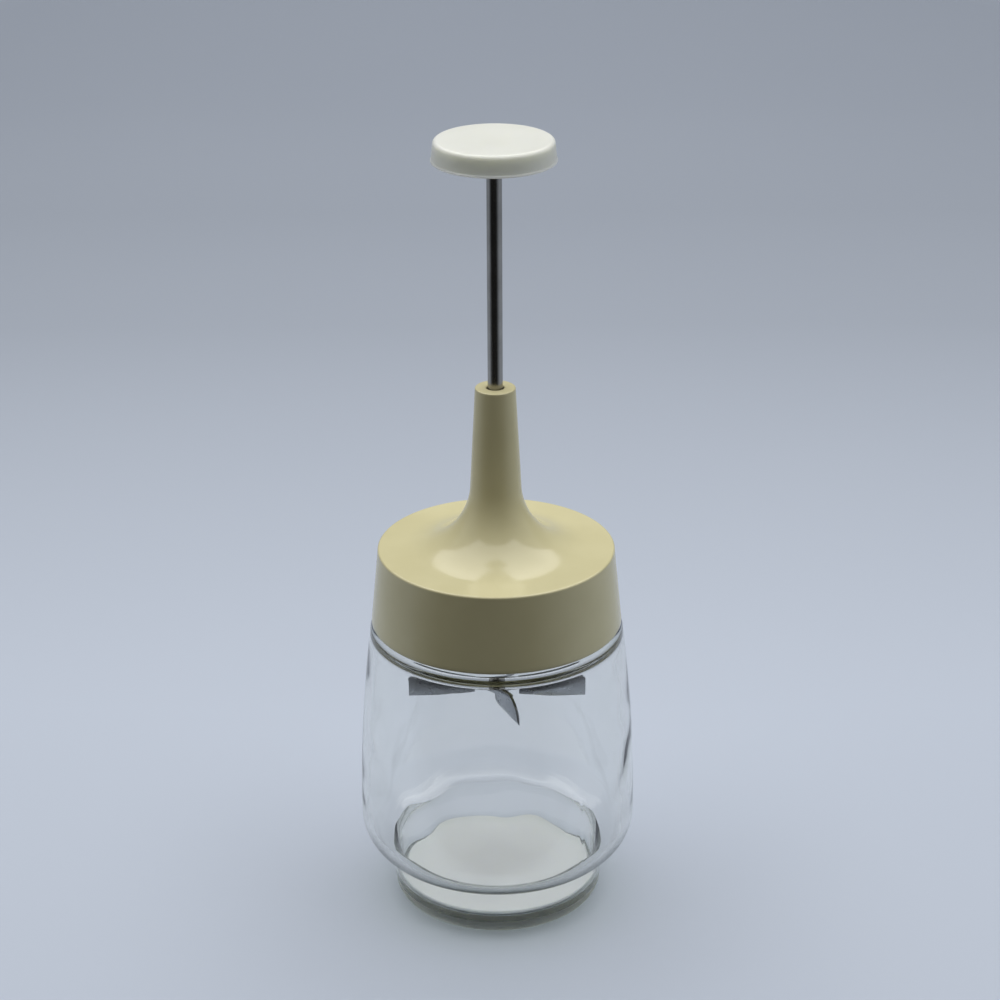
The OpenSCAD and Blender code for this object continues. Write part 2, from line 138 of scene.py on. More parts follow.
def thread_ridge(name, root_r, out, middle_z, first_turn, turns):
    """A helical ridge on a round wall; out is 1 on the outside of a wall and -1 on its inside."""
    slope = (ROOT_W - CREST_W) / 2 / THREAD_H
    foot_w = ROOT_W / 2 + THREAD_SINK * slope
    foot_r, crest_r = root_r - out * THREAD_SINK, root_r + out * THREAD_H
    corners = [(foot_r, -foot_w), (crest_r, -CREST_W / 2), (crest_r, CREST_W / 2), (foot_r, foot_w)]
    ridge = drawn(name, corners + corners[:1], lift=middle_z + PITCH * first_turn)
    bpy.ops.mesh.remove_doubles(threshold=MERGE)
    bpy.ops.transform.rotate(
        value=-2 * math.pi * first_turn, orient_axis="Z", center_override=(0, 0, 0))
    bpy.ops.object.mode_set(mode="OBJECT")
    steps = round(turns * THREAD_STEPS)
    apply_modifier(ridge, "SCREW", axis="Z", angle=2 * math.pi * turns, steps=steps, render_steps=steps,
                   screw_offset=PITCH * turns * MM, use_merge_vertices=True, merge_threshold=FINE_MERGE)
    return ridge


def sink_ends(ridge, root_r, out, middle_z, first_turn, turns):
    """Runs both ends of a ridge out into the wall that carries it, ring by ring, then closes them."""
    near_angle, near_height = 0.01, 1.6
    pick(ridge)
    steps = round(turns * THREAD_STEPS)
    crest_r = root_r + out * THREAD_H
    for k in range(RUNOUT_STEPS):
        share = 1 - k / RUNOUT_STEPS
        grow = (crest_r - out * (THREAD_H + RUNOUT_SINK) * share) / crest_r
        for ring in (k, steps - k):
            turn = 2 * math.pi * (first_turn + turns * ring / steps)
            z = middle_z + PITCH * turn / (2 * math.pi)
            for v in ridge.data.vertices:
                a = math.atan2(v.co.y, v.co.x)
                off = (a - turn + math.pi) % (2 * math.pi) - math.pi
                v.select = abs(off) < near_angle and abs(v.co.z - z * MM) < near_height * MM
            bpy.ops.object.mode_set(mode="EDIT")
            bpy.ops.transform.resize(value=(grow, grow, 1), center_override=(0, 0, 0))
            bpy.ops.mesh.select_all(action="DESELECT")
            bpy.ops.object.mode_set(mode="OBJECT")
    bpy.ops.object.mode_set(mode="EDIT")
    bpy.ops.mesh.select_all(action="SELECT")
    bpy.ops.mesh.fill_holes(sides=8)
    bpy.ops.mesh.select_all(action="SELECT")
    bpy.ops.mesh.normals_make_consistent(inside=False)
    bpy.ops.object.mode_set(mode="OBJECT")


def add_to(piece, extra):
    """Fuses another shape into a piece."""
    apply_modifier(piece, "BOOLEAN", operation="UNION", object=extra, solver="EXACT")
    bpy.data.objects.remove(extra)


def softened(cad_node, width):
    """A copy of a flat solid with its sharp edges slightly rounded."""
    flat_angle, sharp_angle = math.radians(1), math.radians(30)
    pick(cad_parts[cad_node])
    bpy.ops.object.duplicate()
    piece = bpy.context.object
    piece.parent = None
    for key in list(piece.keys()):
        del piece[key]
    piece.name = piece.data.name = cad_node + "_piece"
    bpy.ops.object.mode_set(mode="EDIT")
    bpy.ops.mesh.select_all(action="SELECT")
    bpy.ops.mesh.remove_doubles(threshold=CAD_MERGE)
    bpy.ops.mesh.dissolve_limited(angle_limit=flat_angle)
    bpy.ops.object.mode_set(mode="OBJECT")
    apply_modifier(piece, "BEVEL", width=width * MM, segments=2, limit_method="ANGLE",
                   angle_limit=sharp_angle, use_clamp_overlap=True)
    smooth(piece)
    return piece


# Outlines of the turned pieces, each point a radius and a height in millimetres

def rows(start, end, count):
    """Even steps from one height to another, without the first."""
    return [start + (end - start) * i / count for i in range(1, count + 1)]


def side_r(z):
    """The jar's outer radius above its widest place."""
    edge_z = SHOULDER_Z - SHOULDER_ROUND
    return BELLY_R + (SHOULDER_R - BELLY_R) * ((z - BELLY_Z) / (edge_z - BELLY_Z)) ** 2


def jar_outline():
    """From the middle of the underside up the outside, over the rim and down the inside."""
    inner_ring, outer_ring, bend_rows = 12, 24, 24
    neck_rows, mouth_rows, well_rows = (102, 104, 106, 108, 110), (109, 106, 103, 100), (11.5, 9.5)
    ring_r = FOOT_R - FOOT_LEAN - FOOT_ROUND
    hollow_r = ring_r - FOOT_RING - FOOT_SLOPE
    heel_x = BELLY_R - HEEL_R
    heel_end = math.degrees(math.acos((FOOT_R - heel_x) / HEEL_R))
    heel_foot_z = BELLY_Z - HEEL_R * math.sin(math.radians(heel_end))
    inner_x = BELLY_R - GLASS - INNER_HEEL_R
    lip_x = WELL_R + HEEL_EDGE_R
    lip_z = BELLY_Z - math.sqrt((INNER_HEEL_R + HEEL_EDGE_R) ** 2 - (lip_x - inner_x) ** 2)
    inner_end = math.degrees(math.atan2(BELLY_Z - lip_z, lip_x - inner_x))
    edge_z, inner_top = SHOULDER_Z - SHOULDER_ROUND, SHOULDER_Z - INNER_START
    points = [(0, PUSH_UP), (inner_ring, PUSH_UP), (hollow_r, PUSH_UP)]
    points += arc(hollow_r, 0, PUSH_UP, 90, 8, 6)
    points += [(ring_r - FOOT_RING, 0)]
    points += arc(ring_r, FOOT_ROUND, FOOT_ROUND, -90, 0, 8)
    for t in (0.3, 0.6, 0.9):
        points.append((FOOT_R - FOOT_LEAN * (1 - t), FOOT_ROUND + (heel_foot_z - FOOT_ROUND) * t))
    points += [(FOOT_R, heel_foot_z)]
    points += arc(heel_x, BELLY_Z, HEEL_R, -heel_end, 0, 20)[1:]
    points += [(side_r(z), z) for z in rows(BELLY_Z, edge_z, 30)]
    points += arc(SHOULDER_R - SHOULDER_ROUND, edge_z, SHOULDER_ROUND, 8, 90, 12)
    points += [(NECK_R + NECK_FILLET, SHOULDER_Z)]
    points += arc(NECK_R + NECK_FILLET, SHOULDER_Z + NECK_FILLET, NECK_FILLET, -90, -180, 4)[1:]
    points += [(NECK_R, z) for z in neck_rows]
    points += arc(NECK_R - RIM_ROUND, JAR_H - RIM_ROUND, RIM_ROUND, 0, 90, 8)
    points += arc(MOUTH_R + RIM_ROUND, JAR_H - RIM_ROUND, RIM_ROUND, 90, 180, 8)
    points += [(MOUTH_R, z) for z in mouth_rows]
    for i in range(bend_rows + 1):
        z, t = inner_top - INNER_DROP * i / bend_rows, i / bend_rows
        points.append((MOUTH_R + (side_r(z) - GLASS - MOUTH_R) * t * t * (3 - 2 * t), z))
    points += [(side_r(z) - GLASS, z) for z in rows(inner_top - INNER_DROP, BELLY_Z, 28)]
    points += arc(inner_x, BELLY_Z, INNER_HEEL_R, -4, -inner_end, 18)
    points += arc(lip_x, lip_z, HEEL_EDGE_R, 180 - inner_end, 180, 12)[1:]
    points += [(WELL_R, z) for z in well_rows]
    points += arc(WELL_R - WELL_ROUND, FLOOR_Z + WELL_ROUND, WELL_ROUND, 0, -90, 5)
    points += [(outer_ring, FLOOR_Z), (inner_ring, FLOOR_Z), (0, FLOOR_Z)]
    return points


def lid_outline():
    """From the skirt's lower edge up the outside to the column's top, and back down the inside."""
    low_round, top_round, hole_edge = 0.4, 0.7, 0.25
    column_rows = (147.5, 153, 160, 167, 173, 178)
    press_z, under_z = GUARD_TOP + 0.1, LID_TOP_Z - LID_WALL
    # The rib that presses the guard and the groove beside it, then the lip that holds the guard in
    rib = ((3.3, under_z), (3.1, press_z), (1.5, press_z), (1.3, under_z - 1), (0.2, under_z - 1),
           (0.2, press_z + 1.2))
    lip = ((0, press_z), (0, JAR_H - 0.3), (1, JAR_H - 0.9), (1, JAR_H - 1.3), (0, JAR_H - 2.1),
           (0, LID_Z + 0.5), (-0.5, LID_Z))
    lean = math.radians(DRAFT)
    flare_z = LID_TOP_Z + FLARE_R
    start_z = flare_z - FLARE_R * math.sin(lean)
    flare_x = COLUMN_R + (COLUMN_Z - start_z) * math.tan(lean) + FLARE_R * math.cos(lean)
    top_r = LID_R - LID_LEAN
    skirt_h = LID_TOP_Z - LID_Z - (low_round + top_round)
    points = arc(LID_R - low_round, LID_Z + low_round, low_round, -90, 0, 5)
    points += [(LID_R - LID_LEAN * t, LID_Z + low_round + skirt_h * t) for t in (0.05, 0.35, 0.65, 0.95)]
    points += arc(top_r - top_round, LID_TOP_Z - top_round, top_round, 0, 90, 8)
    points += [(flare_x + (top_r - top_round - flare_x) * t, LID_TOP_Z) for t in (0.95, 0.6, 0.3)]
    points += arc(flare_x, flare_z, FLARE_R, 270, 180 + DRAFT, 32)
    points += [(COLUMN_R + (COLUMN_Z - z) * math.tan(lean), z) for z in column_rows]
    points += arc(COLUMN_R - low_round, COLUMN_Z - low_round, low_round, 0, 90, 5)
    points += [(ROD_HOLE_R + hole_edge, COLUMN_Z), (ROD_HOLE_R, COLUMN_Z - hole_edge)]
    points += [(ROD_HOLE_R, STOP_Z), (BORE_R, STOP_Z)]
    points += arc(flare_x, flare_z, FLARE_R + LID_WALL, 180, 270, 24)
    points += [(GUARD_R - back, z) for back, z in rib]
    points += [(LID_BORE_R - back, z) for back, z in lip]
    return points


def guard_outline():
    """From the rod's hole out under the plate, round its edge and back over it into the spring's well."""
    hole, cup, spigot, wall = ROD_R + 0.3, 5.65, MOUTH_R - 0.4, 1.6
    soft, fillet, edge = 0.6, 0.8, 0.2
    spigot_ring = ((1.6, 0), (1.4, 2.6), (1.2, 2.8), (0.5, 2.8), (0.3, 2.6), (0, 0))
    points = [(hole, SEAT_Z - wall)]
    points += arc(cup + wall - soft, SEAT_Z - wall + soft, soft, -90, 0, 5)
    points += arc(cup + wall + fillet, JAR_H - fillet, fillet, 180, 90, 5)
    points += [(spigot - back, JAR_H - drop) for back, drop in spigot_ring]
    points += [(GUARD_R - edge, JAR_H), (GUARD_R, JAR_H + edge)]
    points += [(GUARD_R, GUARD_TOP - edge), (GUARD_R - edge, GUARD_TOP)]
    points += arc(cup + soft, GUARD_TOP - soft, soft, 90, 180, 5)
    points += [(cup, SEAT_Z), (hole, SEAT_Z)]
    return points


def knob_outline():
    """From the rod's socket out under the top, round the rim's lower edge and over the top."""
    boss, boss_z, boss_edge, boss_fillet = ROD_R + 2.6, KNOB_Z + 0.6, 0.3, 0.5
    wall, lean, soft, top_round = 1.9, 0.7, 0.6, 1.3
    socket_r, socket_z, under = ROD_R + 0.02, ROD_TOP + 0.1, KNOB_TOP - wall
    rim = ((1.9, 0.15), (1.75, 0), (0.15, 0), (0, 0.15), (0, 0.45), (0.07, 0.58), (0.25, 0.75),
           (0.36, 2), (0.52, 3.6))
    points = [(0, socket_z), (socket_r, socket_z), (socket_r, boss_z)]
    points += [(boss - boss_edge, boss_z), (boss, boss_z + boss_edge)]
    points += arc(boss + lean, under - boss_fillet, boss_fillet, 180, 90, 4)
    points += arc(KNOB_R - lean - wall - soft, under - soft, soft, 90, 0, 4)
    points += [(KNOB_R - back, KNOB_Z + up) for back, up in rim]
    points += arc(KNOB_R - lean - top_round, KNOB_TOP - top_round, top_round, 0, 90, 10)
    points += [(r, KNOB_TOP) for r in (14, 9, 4, 0)]
    return points


def rod_outline():
    """From the riveted end up past the ring's groove to the end inside the knob."""
    rivet = ((0, 1), (1.2, 0.97), (2.1, 0.88), (2.65, 0.62), (2.9, 0.3), (2.9, 0))
    tang_r, edge, top_edge, slack = 1.6, 0.1, 0.4, 0.02
    ring_z, ring_t, groove = SPRING_TOP + 0.8, 0.6, 1.8
    low, high = ring_z - slack, ring_z + ring_t + slack
    points = [(r, BLADE_Z - drop) for r, drop in rivet]
    points += [(tang_r, BLADE_Z), (tang_r, ROD_SHOULDER_Z)]
    points += [(ROD_R - edge, ROD_SHOULDER_Z), (ROD_R, ROD_SHOULDER_Z + edge)]
    points += [(ROD_R, z) for z in (100, 120, 140, 160)]
    points += [(ROD_R, low), (groove, low), (groove, high), (ROD_R, high)]
    points += [(ROD_R, z) for z in (185, 200, 215, 230, 245)]
    points += [(ROD_R, ROD_TOP - top_edge), (ROD_R - top_edge, ROD_TOP), (0, ROD_TOP)]
    return points


def disc_outline():
    edge, under_ring, top = 0.5, DISC_R - 6, FLOOR_Z + DISC_T
    points = [(0, FLOOR_Z), (under_ring, FLOOR_Z)]
    points += arc(DISC_R - edge, FLOOR_Z + edge, edge, -90, 0, 5)
    points += arc(DISC_R - edge, top - edge, edge, 0, 90, 5)
    points += [(r, top) for r in (24, 16, 8, 0)]
    return points


def washer_outline(inner, outer, low, high):
    soft = 0.12
    return [(inner, low + soft), (inner + soft, low), (outer - soft, low), (outer, low + soft),
            (outer, high - soft), (outer - soft, high), (inner + soft, high), (inner, high - soft)]


# Pieces

# A thread's wall radius, the way it stands out, its middle's height, where it starts and its turns
THREAD_Z, THREAD_SLACK = SHOULDER_Z + 4, 0.25
JAR_THREAD = (NECK_R, 1, THREAD_Z, 0.0, 1.25)
LID_THREAD = (LID_BORE_R, -1, THREAD_Z - (ROOT_W + CREST_W) / 2 - THREAD_SLACK, 0.16, 1.0)

# A washer's inner and outer radius, underside and top
SPRING_WASHER = (ROD_R + 0.08, BORE_R - 0.3, SPRING_TOP, SPRING_TOP + 0.7)
BLADE_WASHER = (1.62, 5.0, ROD_SHOULDER_Z - 0.8, ROD_SHOULDER_Z)

SEAM_AZIMUTH, SEAM_HALF, SEAM_RISE = -52.5, 0.4, 0.004
WAVE_DEPTH, WAVE_LENGTH = 0.65, 13.0
WAVE_TOP, WAVE_LEAST_R, WAVE_LOW_RISE, WAVE_HIGH_RISE = SHOULDER_Z - 4, 33, 9, 12
CALM_Z, CALM_RISE, CALM_SHARE = 50, 18, 0.55
BLADE_SOFT, RING_SOFT = 0.12, 0.08


def raise_seams(piece):
    """The two fine lines that the halves of a mould leave down the outside of a jar."""
    wall, near = 1, 0.02
    a = math.radians(SEAM_AZIMUTH)
    across = (-math.sin(a), math.cos(a), 0)
    for off in (-SEAM_HALF, SEAM_HALF):
        pick(piece)
        bpy.ops.object.mode_set(mode="EDIT")
        bpy.ops.mesh.select_all(action="SELECT")
        bpy.ops.mesh.bisect(plane_co=[c * off * MM for c in across], plane_no=across, threshold=FINE_MERGE)
        bpy.ops.mesh.select_all(action="DESELECT")
        bpy.ops.object.mode_set(mode="OBJECT")
    for v in piece.data.vertices:
        r, z = math.hypot(v.co.x, v.co.y) / MM, v.co.z / MM
        outside = r > side_r(z) - wall if z > BELLY_Z else r > FOOT_R - wall and z > FOOT_ROUND
        on_line = abs(v.co.x * across[0] + v.co.y * across[1]) < near * MM
        v.select = on_line and outside and z < SHOULDER_Z - SHOULDER_ROUND
    for edge in piece.data.edges:
        edge.select = all(piece.data.vertices[v].select for v in edge.vertices)
    for face in piece.data.polygons:
        face.select = False
    bpy.ops.object.mode_set(mode="EDIT")
    grow = 1 + SEAM_RISE / BELLY_R
    bpy.ops.transform.resize(value=(grow, grow, 1), center_override=(0, 0, 0))
    bpy.ops.mesh.select_all(action="DESELECT")
    bpy.ops.object.mode_set(mode="OBJECT")


def ripple_inside(piece):
    """The slight waves of pressed glass on the inner wall, calmer high up, none at the mouth or well."""
    waves = bpy.data.textures.new("glass_waves", "CLOUDS")
    waves.noise_scale = WAVE_LENGTH * MM
    waves.noise_depth = 0
    wall = piece.vertex_groups.new(name="inner_wall")
    for v in piece.data.vertices:
        r, z = math.hypot(v.co.x, v.co.y) / MM, v.co.z / MM
        if BELLY_Z < z < WAVE_TOP and WAVE_LEAST_R < r < side_r(z) - GLASS / 2:
            calmer = 1 - CALM_SHARE * min(1, max(0, (z - CALM_Z) / CALM_RISE))
            share = min(1, (z - BELLY_Z) / WAVE_LOW_RISE, (WAVE_TOP - z) / WAVE_HIGH_RISE)
            wall.add([v.index], calmer * share, "REPLACE")
    apply_modifier(piece, "DISPLACE", texture=waves, texture_coords="LOCAL", direction="NORMAL",
                   vertex_group="inner_wall", strength=WAVE_DEPTH * MM, mid_level=0.5)
    piece.vertex_groups.clear()


def add_thread(piece, name, thread):
    ridge = thread_ridge(name, *thread)
    sink_ends(ridge, *thread)
    add_to(piece, ridge)
    smooth(piece)


jar = turned("jar_glass", jar_outline(), steps=192)
raise_seams(jar)
ripple_inside(jar)
add_thread(jar, "neck_thread", JAR_THREAD)
lid = turned("lid_shell", lid_outline(), ring=True, steps=192)
add_thread(lid, "lid_thread", LID_THREAD)
guard = turned("guard_plate", guard_outline(), ring=True)
disc = turned("disc_plate", disc_outline(), steps=192)
rod = turned("rod_steel", rod_outline(), steps=64)
spring_washer = turned("spring_washer_piece", washer_outline(*SPRING_WASHER), ring=True, steps=64)
blade_washer = turned("blade_washer_piece", washer_outline(*BLADE_WASHER), ring=True, steps=96)


def make_knob():
    """A hollow cap with ribs between its boss and its rim."""
    rib_count, rib_w = 6, 1.2
    cap = turned("knob_cap", knob_outline())
    clear_selection()
    inner, outer = ROD_R + 2.2, KNOB_R - 2.2
    low, high = KNOB_Z + 2.2, KNOB_TOP - 1.6
    middle = ((inner + outer) / 2 * MM, 0, (low + high) / 2 * MM)
    bpy.ops.mesh.primitive_cube_add(size=MM, location=middle)
    rib = bpy.context.object
    bpy.ops.object.mode_set(mode="EDIT")
    bpy.ops.transform.resize(value=(outer - inner, rib_w, high - low))
    bpy.ops.object.mode_set(mode="OBJECT")
    bpy.ops.object.transform_apply(location=True, rotation=False, scale=True)
    bpy.ops.object.mode_set(mode="EDIT")
    bpy.ops.mesh.select_all(action="SELECT")
    for _ in range(rib_count - 1):
        bpy.ops.mesh.duplicate()
        bpy.ops.transform.rotate(
            value=2 * math.pi / rib_count, orient_axis="Z", center_override=(0, 0, 0))
    bpy.ops.object.mode_set(mode="OBJECT")
    add_to(cap, rib)
    smooth(cap)
    return cap


def make_spring():
    """One wire, with a closer coil at each end, as thick and as long as the solid."""
    seat_gap, end_gap, per_turn, smooth_angle = 0.05, 0.5, 28, 60
    clear_selection()
    low = SEAT_Z + SPRING_WIRE / 2 + seat_gap
    high = SPRING_TOP - SPRING_WIRE / 2 - seat_gap
    end_rise = SPRING_WIRE + end_gap
    rise = (high - low - 2 * end_rise) / (SPRING_TURNS - 2)
    curve = bpy.data.curves.new("spring_coil", "CURVE")
    curve.dimensions = "3D"
    curve.bevel_depth = SPRING_WIRE / 2 * MM
    curve.bevel_resolution = 2
    curve.use_fill_caps = True
    line = curve.splines.new("POLY")
    count = SPRING_TURNS * per_turn
    line.points.add(count)
    for i in range(count + 1):
        t = i / per_turn
        if t < 1:
            z = low + end_rise * t
        elif t > SPRING_TURNS - 1:
            z = high - end_rise * (SPRING_TURNS - t)
        else:
            z = low + end_rise + rise * (t - 1)
        a = 2 * math.pi * t
        line.points[i].co = (SPRING_R * math.cos(a) * MM, SPRING_R * math.sin(a) * MM, z * MM, 1)
    coil = bpy.data.objects.new("spring_coil", curve)
    bpy.context.scene.collection.objects.link(coil)
    pick(coil)
    bpy.ops.object.convert(target="MESH")
    coil = bpy.context.object
    smooth(coil, smooth_angle)
    return coil


knob = make_knob()
coil = make_spring()
long_blade = softened("long_blade", BLADE_SOFT)
cross_blade = softened("cross_blade", BLADE_SOFT)
clip = softened("retaining_ring", RING_SOFT)


# Finishes

def node(tree, kind, place, **values):
    n = tree.nodes.new(kind)
    n.location = place
    for key, value in values.items():
        if hasattr(n, key):
            setattr(n, key, value)
        else:
            n.inputs[key].default_value = value
    return n


def new_finish(name):
    material = bpy.data.materials.new(name)
    material.use_nodes = True
    tree = material.node_tree
    tree.nodes.clear()
    out = node(tree, "ShaderNodeOutputMaterial", (900, 0))
    shader = node(tree, "ShaderNodeBsdfPrincipled", (600, 0))
    tree.links.new(shader.outputs["BSDF"], out.inputs["Surface"])
    return material, tree, shader, out


def new_group(name, inputs, outputs):
    group = bpy.data.node_groups.new(name, "ShaderNodeTree")
    for label, value in inputs:
        socket = group.interface.new_socket(label, in_out="INPUT", socket_type="NodeSocketFloat")
        socket.default_value = value
    for label in outputs:
        group.interface.new_socket(label, in_out="OUTPUT", socket_type="NodeSocketFloat")
    return group, node(group, "NodeGroupInput", (-900, 0)), node(group, "NodeGroupOutput", (900, 0))


def place_group(tree, group, place, **values):
    n = tree.nodes.new("ShaderNodeGroup")
    n.node_tree = group
    n.location = place
    for key, value in values.items():
        n.inputs[key.replace("_", " ")].default_value = value
    return n


def ramp(tree, place, source, low, high):
    """A value from 0 to 1 turned into a colour between two."""
    mix = node(tree, "ShaderNodeMix", place, data_type="RGBA")
    mix.inputs["A"].default_value = (*low, 1)
    mix.inputs["B"].default_value = (*high, 1)
    tree.links.new(source, mix.inputs["Factor"])
    return mix.outputs["Result"]


def spread(tree, place, source, low, high, from_low=0.0, from_high=1.0):
    """A value mapped to a range."""
    n = node(tree, "ShaderNodeMapRange", place)
    n.inputs["From Min"].default_value = from_low
    n.inputs["From Max"].default_value = from_high
    n.inputs["To Min"].default_value = low
    n.inputs["To Max"].default_value = high
    tree.links.new(source, n.inputs["Value"])
    return n.outputs["Result"]


def bump(tree, place, height, shader, strength, distance):
    n = node(tree, "ShaderNodeBump", place, Strength=strength, Distance=distance)
    tree.links.new(height, n.inputs["Height"])
    tree.links.new(n.outputs["Normal"], shader.inputs["Normal"])


def make_moulded_skin():
    """Slow mottle, fine grain and faint rubbed patches of a moulded plastic skin."""
    rubbed = (0.55, 0.72)
    group, gin, gout = new_group(
        "moulded_skin", [("Mottle Scale", 40.0), ("Grain Scale", 900.0), ("Scuff Scale", 160.0)],
        ["Mottle", "Grain", "Scuff"])
    links = group.links
    where = node(group, "ShaderNodeTexCoord", (-900, -300))
    mottle = node(group, "ShaderNodeTexNoise", (-500, 250), Detail=3.0, Roughness=0.5)
    grain = node(group, "ShaderNodeTexNoise", (-500, 0), Detail=2.0, Roughness=0.6)
    scuff = node(group, "ShaderNodeTexNoise", (-500, -250), Detail=6.0, Roughness=0.7, Distortion=1.5)
    for texture, label in ((mottle, "Mottle Scale"), (grain, "Grain Scale"), (scuff, "Scuff Scale")):
        links.new(where.outputs["Object"], texture.inputs["Vector"])
        links.new(gin.outputs[label], texture.inputs["Scale"])
    links.new(mottle.outputs["Fac"], gout.inputs["Mottle"])
    links.new(grain.outputs["Fac"], gout.inputs["Grain"])
    patches = spread(group, (-100, -250), scuff.outputs["Fac"], 0.0, 1.0, *rubbed)
    links.new(patches, gout.inputs["Scuff"])
    return group


def make_drawn_lines():
    """Lines left in steel by drawing or brushing, stretched along one axis by the three scales."""
    group, gin, gout = new_group(
        "drawn_lines", [("Scale X", 3000.0), ("Scale Y", 3000.0), ("Scale Z", 40.0)], ["Lines", "Patches"])
    links = group.links
    where = node(group, "ShaderNodeTexCoord", (-900, -300))
    scale = node(group, "ShaderNodeCombineXYZ", (-700, 100))
    stretch = node(group, "ShaderNodeVectorMath", (-500, 0), operation="MULTIPLY")
    lines = node(group, "ShaderNodeTexNoise", (-250, 100), Scale=1.0, Detail=3.0, Roughness=0.55)
    patches = node(group, "ShaderNodeTexNoise", (-250, -200), Scale=120.0, Detail=4.0, Roughness=0.6)
    for axis in "XYZ":
        links.new(gin.outputs["Scale " + axis], scale.inputs[axis])
    links.new(where.outputs["Object"], stretch.inputs[0])
    links.new(scale.outputs["Vector"], stretch.inputs[1])
    links.new(stretch.outputs["Vector"], lines.inputs["Vector"])
    links.new(where.outputs["Object"], patches.inputs["Vector"])
    links.new(lines.outputs["Fac"], gout.inputs["Lines"])
    links.new(patches.outputs["Fac"], gout.inputs["Patches"])
    return group


MOULDED_SKIN = make_moulded_skin()
DRAWN_LINES = make_drawn_lines()


# Most values of a noise lie between these two
NOISE_RANGE = (0.3, 0.7)
PLASTIC_IOR, GLASS_IOR = 1.49, 1.5
GRAIN_STRENGTH, GRAIN_DEPTH = 0.06, 0.05 * MM
LINE_STRENGTH, LINE_DEPTH = 0.05, 0.03 * MM


def let_light_in(shader, depth):
    """Thin white plastic glows a little where light reaches it from behind."""
    shader.inputs["Subsurface Weight"].default_value = 1.0
    shader.inputs["Subsurface Radius"].default_value = (1.0, 1.0, 0.9)
    shader.inputs["Subsurface Scale"].default_value = depth * MM


def plastic(name, dark, light, gloss, rough, depth=0.0):
    material, tree, shader, _ = new_finish(name)
    skin = place_group(tree, MOULDED_SKIN, (-500, 0))
    share = spread(tree, (-300, 200), skin.outputs["Mottle"], 0, 1, *NOISE_RANGE)
    tree.links.new(ramp(tree, (-150, 200), share, dark, light), shader.inputs["Base Color"])
    roughness = spread(tree, (-150, -100), skin.outputs["Scuff"], gloss, rough)
    tree.links.new(roughness, shader.inputs["Roughness"])
    bump(tree, (250, -300), skin.outputs["Grain"], shader, GRAIN_STRENGTH, GRAIN_DEPTH)
    shader.inputs["IOR"].default_value = PLASTIC_IOR
    if depth:
        let_light_in(shader, depth)
    return material


def steel(name, dark, light, gloss, rough, lines):
    material, tree, shader, _ = new_finish(name)
    drawn_skin = place_group(
        tree, DRAWN_LINES, (-500, 0), Scale_X=lines[0], Scale_Y=lines[1], Scale_Z=lines[2])
    share = spread(tree, (-300, 200), drawn_skin.outputs["Patches"], 0, 1, *NOISE_RANGE)
    tree.links.new(ramp(tree, (-150, 200), share, dark, light), shader.inputs["Base Color"])
    roughness = spread(tree, (-150, -100), drawn_skin.outputs["Lines"], gloss, rough, *NOISE_RANGE)
    tree.links.new(roughness, shader.inputs["Roughness"])
    bump(tree, (250, -300), drawn_skin.outputs["Lines"], shader, LINE_STRENGTH, LINE_DEPTH)
    shader.inputs["Metallic"].default_value = 1.0
    return material


WHITE_LIGHT = (1.0, 1.0, 1.0)
GLASS_CLEAN, GLASS_SCUFF = (0.98, 0.985, 0.985), 0.03
GLASS_SHADOW, GLASS_EDGE_SHADOW, GRAZING = (0.955, 0.963, 0.958), (0.82, 0.838, 0.83), (0.35, 0.95)
GLASS_TINT, GLASS_DENSITY = (0.50, 0.55, 0.20), 10.0
FOOT_RUB, FOOT_RUB_Z = 0.55, (2.5 * MM, 7.5 * MM)
# Painted shade: the grey that darkens the glass along the outside of its heel, where the heel is seen
# edge-on
HEEL_PAINTED_SHADE, HEEL_EDGE_ON = (0.10, 0.11, 0.115), (0.40, 0.80)
HEEL_SKIN, HEEL_LOW_Z, HEEL_HIGH_Z = (11.6 * MM, 12.2 * MM), (16.4 * MM, 17.2 * MM), (25.0 * MM, 31.0 * MM)


